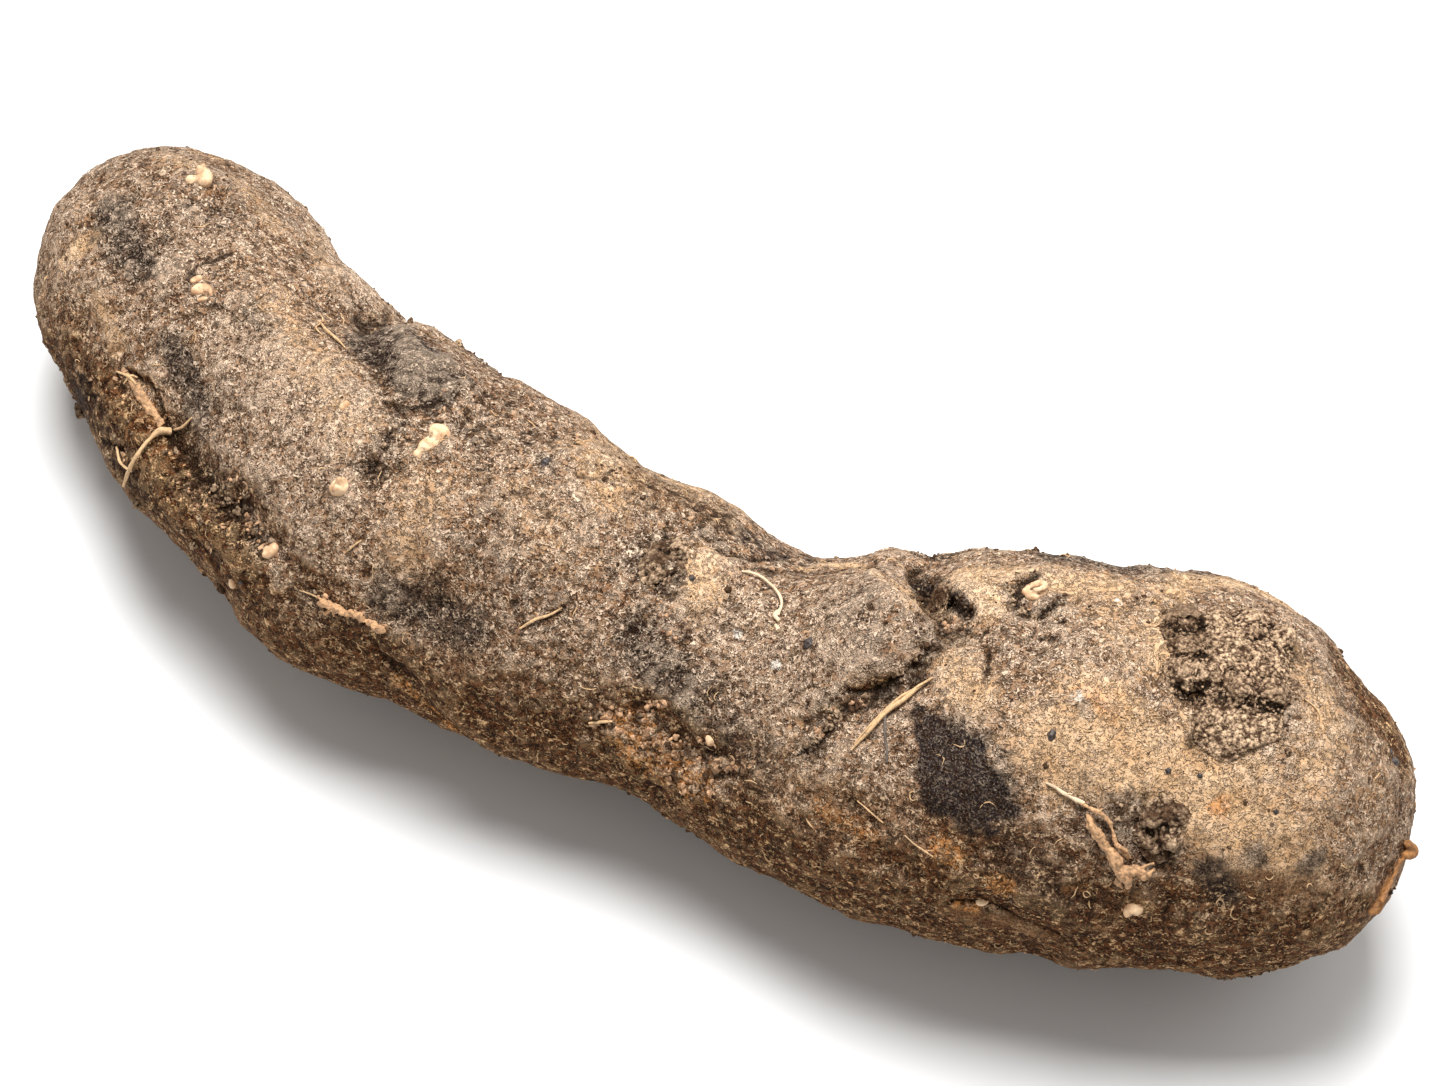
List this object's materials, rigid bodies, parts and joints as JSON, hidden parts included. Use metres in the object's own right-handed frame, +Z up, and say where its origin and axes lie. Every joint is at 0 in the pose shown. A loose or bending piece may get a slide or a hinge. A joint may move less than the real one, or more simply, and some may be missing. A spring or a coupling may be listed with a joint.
{
  "type": "potato",
  "caption": "Long, knobbly unwashed potato lying on its side, with eyes, a deep crease, stuck-on soil and a few dry roots.",
  "frame": {"origin": "middle of the bounding box's underside, on the surface the potato rests on", "axes": "+X from the thin end to the thick end, +Z up, +Y to the hollow side of the bend"},
  "size_m": [0.187, 0.0597, 0.0502],
  "materials": {
    "skin": null,
    "dry_soil": null,
    "stolon_bark": "dry pinkish-tan stem bark",
    "dry_root": "dry straw-coloured root",
    "white_root": "pale thread-like root",
    "stem_end_bark": "orange-brown dry bark"
  },
  "bodies": {
    "root": {"tuber": "skin", "soil_crust": "dry_soil", "soil_by_stolon": "dry_soil", "soil_in_crease": "dry_soil", "soil_by_bare_patch": "dry_soil", "stolon": "stolon_bark", "dry_forked_root": "dry_root", "thin_end_root": "dry_root", "thread_root": "white_root", "stem_end_strand": "stem_end_bark"}
  },
  "joints": []
}
